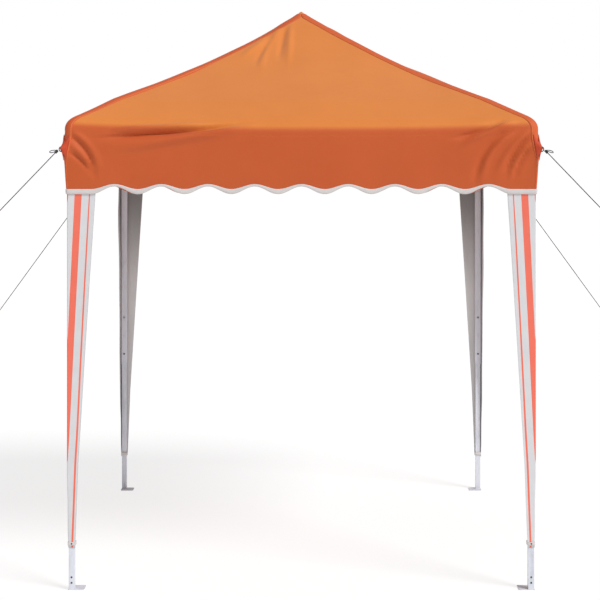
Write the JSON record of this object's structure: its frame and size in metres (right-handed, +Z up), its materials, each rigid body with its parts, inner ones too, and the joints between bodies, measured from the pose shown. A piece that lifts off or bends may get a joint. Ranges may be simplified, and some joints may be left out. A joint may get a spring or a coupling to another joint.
{
  "type": "pop-up tent shelter",
  "caption": "Square pop-up shelter: pitched fabric canopy with a scalloped valance on a folding scissor frame with telescoping legs, corner curtains and guy ropes.",
  "frame": {"origin": "on the ground at the middle of the four feet", "axes": "+Z up along the peak pole, -Y towards the front, +X to the right seen from the front"},
  "size_m": [3.7252, 3.139, 2.528],
  "materials": {
    "canopy_fabric": "woven coated polyester, matt",
    "curtain_fabric": "woven polyester with coral stripes",
    "rope": "braided cord",
    "leg_steel": "powder coat, satin",
    "bar_steel": "powder coat, satin",
    "button_steel": "zinc plated",
    "pole_alloy": "satin",
    "joint_plastic": "moulded nylon"
  },
  "bodies": {
    "hub": {"top_hub": "joint_plastic", "canopy": "canopy_fabric"},
    "front_inner_bar_falling": {"front_inner_bar_falling": "bar_steel"},
    "front_inner_bar_rising": {"front_inner_bar_rising": "bar_steel"},
    "front_top_connector": {"front_top_connector": "joint_plastic"},
    "front_bottom_connector": {"front_bottom_connector": "joint_plastic"},
    "right_inner_bar_falling": {"right_inner_bar_falling": "bar_steel"},
    "right_inner_bar_rising": {"right_inner_bar_rising": "bar_steel"},
    "right_top_connector": {"right_top_connector": "joint_plastic"},
    "right_bottom_connector": {"right_bottom_connector": "joint_plastic"},
    "back_inner_bar_falling": {"back_inner_bar_falling": "bar_steel"},
    "back_inner_bar_rising": {"back_inner_bar_rising": "bar_steel"},
    "back_top_connector": {"back_top_connector": "joint_plastic"},
    "back_bottom_connector": {"back_bottom_connector": "joint_plastic"},
    "left_inner_bar_falling": {"left_inner_bar_falling": "bar_steel"},
    "left_inner_bar_rising": {"left_inner_bar_rising": "bar_steel"},
    "left_top_connector": {"left_top_connector": "joint_plastic"},
    "left_bottom_connector": {"left_bottom_connector": "joint_plastic"},
    "lower_hub": {"lower_hub": "joint_plastic"},
    "peak_pole": {"peak_pole": "pole_alloy"},
    "front_side_left_bar_to_slider": {"front_side_left_bar_to_slider": "bar_steel"},
    "front_side_left_bar_to_corner": {"front_side_left_bar_to_corner": "bar_steel"},
    "front_side_right_bar_to_slider": {"front_side_right_bar_to_slider": "bar_steel"},
    "front_side_right_bar_to_corner": {"front_side_right_bar_to_corner": "bar_steel"},
    "right_side_front_bar_to_slider": {"right_side_front_bar_to_slider": "bar_steel"},
    "right_side_front_bar_to_corner": {"right_side_front_bar_to_corner": "bar_steel"},
    "right_side_back_bar_to_slider": {"right_side_back_bar_to_slider": "bar_steel"},
    "right_side_back_bar_to_corner": {"right_side_back_bar_to_corner": "bar_steel"},
    "back_side_right_bar_to_slider": {"back_side_right_bar_to_slider": "bar_steel"},
    "back_side_right_bar_to_corner": {"back_side_right_bar_to_corner": "bar_steel"},
    "back_side_left_bar_to_slider": {"back_side_left_bar_to_slider": "bar_steel"},
    "back_side_left_bar_to_corner": {"back_side_left_bar_to_corner": "bar_steel"},
    "left_side_back_bar_to_slider": {"left_side_back_bar_to_slider": "bar_steel"},
    "left_side_back_bar_to_corner": {"left_side_back_bar_to_corner": "bar_steel"},
    "left_side_front_bar_to_slider": {"left_side_front_bar_to_slider": "bar_steel"},
    "left_side_front_bar_to_corner": {"left_side_front_bar_to_corner": "bar_steel"},
    "front_left_upper_leg": {"front_left_upper_leg": "leg_steel", "front_left_curtain": "curtain_fabric", "front_left_guy_rope": "rope"},
    "front_left_lower_leg": {"front_left_lower_leg": "leg_steel"},
    "front_left_slider": {"front_left_slider": "joint_plastic"},
    "front_left_snap_button": {"front_left_snap_button": "button_steel"},
    "front_right_upper_leg": {"front_right_upper_leg": "leg_steel", "front_right_curtain": "curtain_fabric", "front_right_guy_rope": "rope"},
    "front_right_lower_leg": {"front_right_lower_leg": "leg_steel"},
    "front_right_slider": {"front_right_slider": "joint_plastic"},
    "front_right_snap_button": {"front_right_snap_button": "button_steel"},
    "back_left_upper_leg": {"back_left_upper_leg": "leg_steel", "back_left_curtain": "curtain_fabric", "back_left_guy_rope": "rope"},
    "back_left_lower_leg": {"back_left_lower_leg": "leg_steel"},
    "back_left_slider": {"back_left_slider": "joint_plastic"},
    "back_left_snap_button": {"back_left_snap_button": "button_steel"},
    "back_right_upper_leg": {"back_right_upper_leg": "leg_steel", "back_right_curtain": "curtain_fabric", "back_right_guy_rope": "rope"},
    "back_right_lower_leg": {"back_right_lower_leg": "leg_steel"},
    "back_right_slider": {"back_right_slider": "joint_plastic"},
    "back_right_snap_button": {"back_right_snap_button": "button_steel"}
  },
  "joints": [
    {"name": "fold", "type": "hinge", "parent": "hub", "child": "front_inner_bar_falling", "pos_m": [0.00575, -0.04, 1.92], "axis": [1, 0, 0], "range_deg": [0, 75]},
    {"name": "front_inner_crossing", "type": "hinge", "parent": "front_inner_bar_falling", "child": "front_inner_bar_rising", "pos_m": [0, -0.49, 1.825], "axis": [1, 0, 0], "range_deg": [-150, 0]},
    {"name": "front_top_connector_pivot", "type": "hinge", "parent": "front_inner_bar_rising", "child": "front_top_connector", "pos_m": [-0.00575, -0.94, 1.92], "axis": [1, 0, 0], "range_deg": [0, 75]},
    {"name": "front_bottom_connector_pivot", "type": "hinge", "parent": "front_inner_bar_falling", "child": "front_bottom_connector", "pos_m": [0.00575, -0.94, 1.73], "axis": [1, 0, 0], "range_deg": [-75, 0]},
    {"name": "right_inner_bar_falling_pivot", "type": "hinge", "parent": "hub", "child": "right_inner_bar_falling", "pos_m": [0.04, 0.00575, 1.92], "axis": [0, 1, 0], "range_deg": [0, 75]},
    {"name": "right_inner_crossing", "type": "hinge", "parent": "right_inner_bar_falling", "child": "right_inner_bar_rising", "pos_m": [0.49, 0, 1.825], "axis": [0, 1, 0], "range_deg": [-150, 0]},
    {"name": "right_top_connector_pivot", "type": "hinge", "parent": "right_inner_bar_rising", "child": "right_top_connector", "pos_m": [0.94, -0.00575, 1.92], "axis": [0, 1, 0], "range_deg": [0, 75]},
    {"name": "right_bottom_connector_pivot", "type": "hinge", "parent": "right_inner_bar_falling", "child": "right_bottom_connector", "pos_m": [0.94, 0.00575, 1.73], "axis": [0, 1, 0], "range_deg": [-75, 0]},
    {"name": "back_inner_bar_falling_pivot", "type": "hinge", "parent": "hub", "child": "back_inner_bar_falling", "pos_m": [-0.00575, 0.04, 1.92], "axis": [-1, 0, 0], "range_deg": [0, 75]},
    {"name": "back_inner_crossing", "type": "hinge", "parent": "back_inner_bar_falling", "child": "back_inner_bar_rising", "pos_m": [0, 0.49, 1.825], "axis": [-1, 0, 0], "range_deg": [-150, 0]},
    {"name": "back_top_connector_pivot", "type": "hinge", "parent": "back_inner_bar_rising", "child": "back_top_connector", "pos_m": [0.00575, 0.94, 1.92], "axis": [-1, 0, 0], "range_deg": [0, 75]},
    {"name": "back_bottom_connector_pivot", "type": "hinge", "parent": "back_inner_bar_falling", "child": "back_bottom_connector", "pos_m": [-0.00575, 0.94, 1.73], "axis": [-1, 0, 0], "range_deg": [-75, 0]},
    {"name": "left_inner_bar_falling_pivot", "type": "hinge", "parent": "hub", "child": "left_inner_bar_falling", "pos_m": [-0.04, -0.00575, 1.92], "axis": [0, -1, 0], "range_deg": [0, 75]},
    {"name": "left_inner_crossing", "type": "hinge", "parent": "left_inner_bar_falling", "child": "left_inner_bar_rising", "pos_m": [-0.49, 0, 1.825], "axis": [0, -1, 0], "range_deg": [-150, 0]},
    {"name": "left_top_connector_pivot", "type": "hinge", "parent": "left_inner_bar_rising", "child": "left_top_connector", "pos_m": [-0.94, 0.00575, 1.92], "axis": [0, -1, 0], "range_deg": [0, 75]},
    {"name": "left_bottom_connector_pivot", "type": "hinge", "parent": "left_inner_bar_falling", "child": "left_bottom_connector", "pos_m": [-0.94, -0.00575, 1.73], "axis": [0, -1, 0], "range_deg": [-75, 0]},
    {"name": "lower_hub_pivot", "type": "hinge", "parent": "front_inner_bar_rising", "child": "lower_hub", "pos_m": [-0.00575, -0.04, 1.73], "axis": [1, 0, 0], "range_deg": [0, 75]},
    {"name": "peak_pole_drop", "type": "slide", "parent": "hub", "child": "peak_pole", "axis": [0, 0, -1], "range_m": [0, 0.54]},
    {"name": "front_side_left_bar_to_slider_pivot", "type": "hinge", "parent": "front_top_connector", "child": "front_side_left_bar_to_slider", "pos_m": [-0.03, -0.96425, 1.92], "axis": [0, -1, 0], "range_deg": [0, 75]},
    {"name": "front_side_left_crossing", "type": "hinge", "parent": "front_side_left_bar_to_slider", "child": "front_side_left_bar_to_corner", "pos_m": [-0.48, -0.97, 1.825], "axis": [0, -1, 0], "range_deg": [-150, 0]},
    {"name": "front_side_right_bar_to_slider_pivot", "type": "hinge", "parent": "front_top_connector", "child": "front_side_right_bar_to_slider", "pos_m": [0.03, -0.96425, 1.92], "axis": [0, 1, 0], "range_deg": [0, 75]},
    {"name": "front_side_right_crossing", "type": "hinge", "parent": "front_side_right_bar_to_slider", "child": "front_side_right_bar_to_corner", "pos_m": [0.48, -0.97, 1.825], "axis": [0, 1, 0], "range_deg": [-150, 0]},
    {"name": "right_side_front_bar_to_slider_pivot", "type": "hinge", "parent": "right_top_connector", "child": "right_side_front_bar_to_slider", "pos_m": [0.96425, -0.03, 1.92], "axis": [1, 0, 0], "range_deg": [0, 75]},
    {"name": "right_side_front_crossing", "type": "hinge", "parent": "right_side_front_bar_to_slider", "child": "right_side_front_bar_to_corner", "pos_m": [0.97, -0.48, 1.825], "axis": [1, 0, 0], "range_deg": [-150, 0]},
    {"name": "right_side_back_bar_to_slider_pivot", "type": "hinge", "parent": "right_top_connector", "child": "right_side_back_bar_to_slider", "pos_m": [0.96425, 0.03, 1.92], "axis": [-1, 0, 0], "range_deg": [0, 75]},
    {"name": "right_side_back_crossing", "type": "hinge", "parent": "right_side_back_bar_to_slider", "child": "right_side_back_bar_to_corner", "pos_m": [0.97, 0.48, 1.825], "axis": [-1, 0, 0], "range_deg": [-150, 0]},
    {"name": "back_side_right_bar_to_slider_pivot", "type": "hinge", "parent": "back_top_connector", "child": "back_side_right_bar_to_slider", "pos_m": [0.03, 0.96425, 1.92], "axis": [0, 1, 0], "range_deg": [0, 75]},
    {"name": "back_side_right_crossing", "type": "hinge", "parent": "back_side_right_bar_to_slider", "child": "back_side_right_bar_to_corner", "pos_m": [0.48, 0.97, 1.825], "axis": [0, 1, 0], "range_deg": [-150, 0]},
    {"name": "back_side_left_bar_to_slider_pivot", "type": "hinge", "parent": "back_top_connector", "child": "back_side_left_bar_to_slider", "pos_m": [-0.03, 0.96425, 1.92], "axis": [0, -1, 0], "range_deg": [0, 75]},
    {"name": "back_side_left_crossing", "type": "hinge", "parent": "back_side_left_bar_to_slider", "child": "back_side_left_bar_to_corner", "pos_m": [-0.48, 0.97, 1.825], "axis": [0, -1, 0], "range_deg": [-150, 0]},
    {"name": "left_side_back_bar_to_slider_pivot", "type": "hinge", "parent": "left_top_connector", "child": "left_side_back_bar_to_slider", "pos_m": [-0.96425, 0.03, 1.92], "axis": [-1, 0, 0], "range_deg": [0, 75]},
    {"name": "left_side_back_crossing", "type": "hinge", "parent": "left_side_back_bar_to_slider", "child": "left_side_back_bar_to_corner", "pos_m": [-0.97, 0.48, 1.825], "axis": [-1, 0, 0], "range_deg": [-150, 0]},
    {"name": "left_side_front_bar_to_slider_pivot", "type": "hinge", "parent": "left_top_connector", "child": "left_side_front_bar_to_slider", "pos_m": [-0.96425, -0.03, 1.92], "axis": [1, 0, 0], "range_deg": [0, 75]},
    {"name": "left_side_front_crossing", "type": "hinge", "parent": "left_side_front_bar_to_slider", "child": "left_side_front_bar_to_corner", "pos_m": [-0.97, -0.48, 1.825], "axis": [1, 0, 0], "range_deg": [-150, 0]},
    {"name": "front_left_upper_leg_pivot", "type": "hinge", "parent": "front_side_left_bar_to_corner", "child": "front_left_upper_leg", "pos_m": [-0.93, -0.97575, 1.92], "axis": [0, -1, 0], "range_deg": [0, 75], "deforming": ["front_left_guy_rope"]},
    {"name": "front_left_slider_pivot", "type": "hinge", "parent": "front_side_left_bar_to_slider", "child": "front_left_slider", "pos_m": [-0.93, -0.96425, 1.73], "axis": [0, -1, 0], "range_deg": [-75, 0]},
    {"name": "front_left_leg_height", "type": "slide", "parent": "front_left_upper_leg", "child": "front_left_lower_leg", "axis": [0, 0, 1], "range_m": [0, 0.6], "deforming": ["front_left_curtain", "front_left_snap_button"]},
    {"name": "front_left_button_press", "type": "slide", "parent": "front_left_lower_leg", "child": "front_left_snap_button", "axis": [0, -1, 0], "range_m": [0, 0.005], "stiffness_N_per_m": 800},
    {"name": "front_right_upper_leg_pivot", "type": "hinge", "parent": "front_side_right_bar_to_corner", "child": "front_right_upper_leg", "pos_m": [0.93, -0.97575, 1.92], "axis": [0, 1, 0], "range_deg": [0, 75], "deforming": ["front_right_guy_rope"]},
    {"name": "front_right_slider_pivot", "type": "hinge", "parent": "front_side_right_bar_to_slider", "child": "front_right_slider", "pos_m": [0.93, -0.96425, 1.73], "axis": [0, 1, 0], "range_deg": [-75, 0]},
    {"name": "front_right_leg_height", "type": "slide", "parent": "front_right_upper_leg", "child": "front_right_lower_leg", "axis": [0, 0, 1], "range_m": [0, 0.6], "deforming": ["front_right_curtain", "front_right_snap_button"]},
    {"name": "front_right_button_press", "type": "slide", "parent": "front_right_lower_leg", "child": "front_right_snap_button", "axis": [0, -1, 0], "range_m": [0, 0.005], "stiffness_N_per_m": 800},
    {"name": "back_left_upper_leg_pivot", "type": "hinge", "parent": "back_side_left_bar_to_corner", "child": "back_left_upper_leg", "pos_m": [-0.93, 0.97575, 1.92], "axis": [0, -1, 0], "range_deg": [0, 75], "deforming": ["back_left_guy_rope"]},
    {"name": "back_left_slider_pivot", "type": "hinge", "parent": "back_side_left_bar_to_slider", "child": "back_left_slider", "pos_m": [-0.93, 0.96425, 1.73], "axis": [0, -1, 0], "range_deg": [-75, 0]},
    {"name": "back_left_leg_height", "type": "slide", "parent": "back_left_upper_leg", "child": "back_left_lower_leg", "axis": [0, 0, 1], "range_m": [0, 0.6], "deforming": ["back_left_curtain", "back_left_snap_button"]},
    {"name": "back_left_button_press", "type": "slide", "parent": "back_left_lower_leg", "child": "back_left_snap_button", "axis": [0, 1, 0], "range_m": [0, 0.005], "stiffness_N_per_m": 800},
    {"name": "back_right_upper_leg_pivot", "type": "hinge", "parent": "back_side_right_bar_to_corner", "child": "back_right_upper_leg", "pos_m": [0.93, 0.97575, 1.92], "axis": [0, 1, 0], "range_deg": [0, 75], "deforming": ["back_right_guy_rope"]},
    {"name": "back_right_slider_pivot", "type": "hinge", "parent": "back_side_right_bar_to_slider", "child": "back_right_slider", "pos_m": [0.93, 0.96425, 1.73], "axis": [0, 1, 0], "range_deg": [-75, 0]},
    {"name": "back_right_leg_height", "type": "slide", "parent": "back_right_upper_leg", "child": "back_right_lower_leg", "axis": [0, 0, 1], "range_m": [0, 0.6], "deforming": ["back_right_curtain", "back_right_snap_button"]},
    {"name": "back_right_button_press", "type": "slide", "parent": "back_right_lower_leg", "child": "back_right_snap_button", "axis": [0, 1, 0], "range_m": [0, 0.005], "stiffness_N_per_m": 800}
  ],
  "couplings": [
    {"joint": "front_inner_crossing", "follows": "fold", "ratio": -2},
    {"joint": "front_top_connector_pivot", "follows": "fold", "ratio": 1},
    {"joint": "front_bottom_connector_pivot", "follows": "fold", "ratio": -1},
    {"joint": "right_inner_bar_falling_pivot", "follows": "fold", "ratio": 1},
    {"joint": "right_inner_crossing", "follows": "fold", "ratio": -2},
    {"joint": "right_top_connector_pivot", "follows": "fold", "ratio": 1},
    {"joint": "right_bottom_connector_pivot", "follows": "fold", "ratio": -1},
    {"joint": "back_inner_bar_falling_pivot", "follows": "fold", "ratio": 1},
    {"joint": "back_inner_crossing", "follows": "fold", "ratio": -2},
    {"joint": "back_top_connector_pivot", "follows": "fold", "ratio": 1},
    {"joint": "back_bottom_connector_pivot", "follows": "fold", "ratio": -1},
    {"joint": "left_inner_bar_falling_pivot", "follows": "fold", "ratio": 1},
    {"joint": "left_inner_crossing", "follows": "fold", "ratio": -2},
    {"joint": "left_top_connector_pivot", "follows": "fold", "ratio": 1},
    {"joint": "left_bottom_connector_pivot", "follows": "fold", "ratio": -1},
    {"joint": "lower_hub_pivot", "follows": "fold", "ratio": 1},
    {"joint": "peak_pole_drop", "follows": "fold", "m_per_rad": 0.4125},
    {"joint": "front_side_left_bar_to_slider_pivot", "follows": "fold", "ratio": 1},
    {"joint": "front_side_left_crossing", "follows": "fold", "ratio": -2},
    {"joint": "front_side_right_bar_to_slider_pivot", "follows": "fold", "ratio": 1},
    {"joint": "front_side_right_crossing", "follows": "fold", "ratio": -2},
    {"joint": "right_side_front_bar_to_slider_pivot", "follows": "fold", "ratio": 1},
    {"joint": "right_side_front_crossing", "follows": "fold", "ratio": -2},
    {"joint": "right_side_back_bar_to_slider_pivot", "follows": "fold", "ratio": 1},
    {"joint": "right_side_back_crossing", "follows": "fold", "ratio": -2},
    {"joint": "back_side_right_bar_to_slider_pivot", "follows": "fold", "ratio": 1},
    {"joint": "back_side_right_crossing", "follows": "fold", "ratio": -2},
    {"joint": "back_side_left_bar_to_slider_pivot", "follows": "fold", "ratio": 1},
    {"joint": "back_side_left_crossing", "follows": "fold", "ratio": -2},
    {"joint": "left_side_back_bar_to_slider_pivot", "follows": "fold", "ratio": 1},
    {"joint": "left_side_back_crossing", "follows": "fold", "ratio": -2},
    {"joint": "left_side_front_bar_to_slider_pivot", "follows": "fold", "ratio": 1},
    {"joint": "left_side_front_crossing", "follows": "fold", "ratio": -2},
    {"joint": "front_left_upper_leg_pivot", "follows": "fold", "ratio": 1},
    {"joint": "front_left_slider_pivot", "follows": "fold", "ratio": -1},
    {"joint": "front_right_upper_leg_pivot", "follows": "fold", "ratio": 1},
    {"joint": "front_right_slider_pivot", "follows": "fold", "ratio": -1},
    {"joint": "back_left_upper_leg_pivot", "follows": "fold", "ratio": 1},
    {"joint": "back_left_slider_pivot", "follows": "fold", "ratio": -1},
    {"joint": "back_right_upper_leg_pivot", "follows": "fold", "ratio": 1},
    {"joint": "back_right_slider_pivot", "follows": "fold", "ratio": -1}
  ]
}
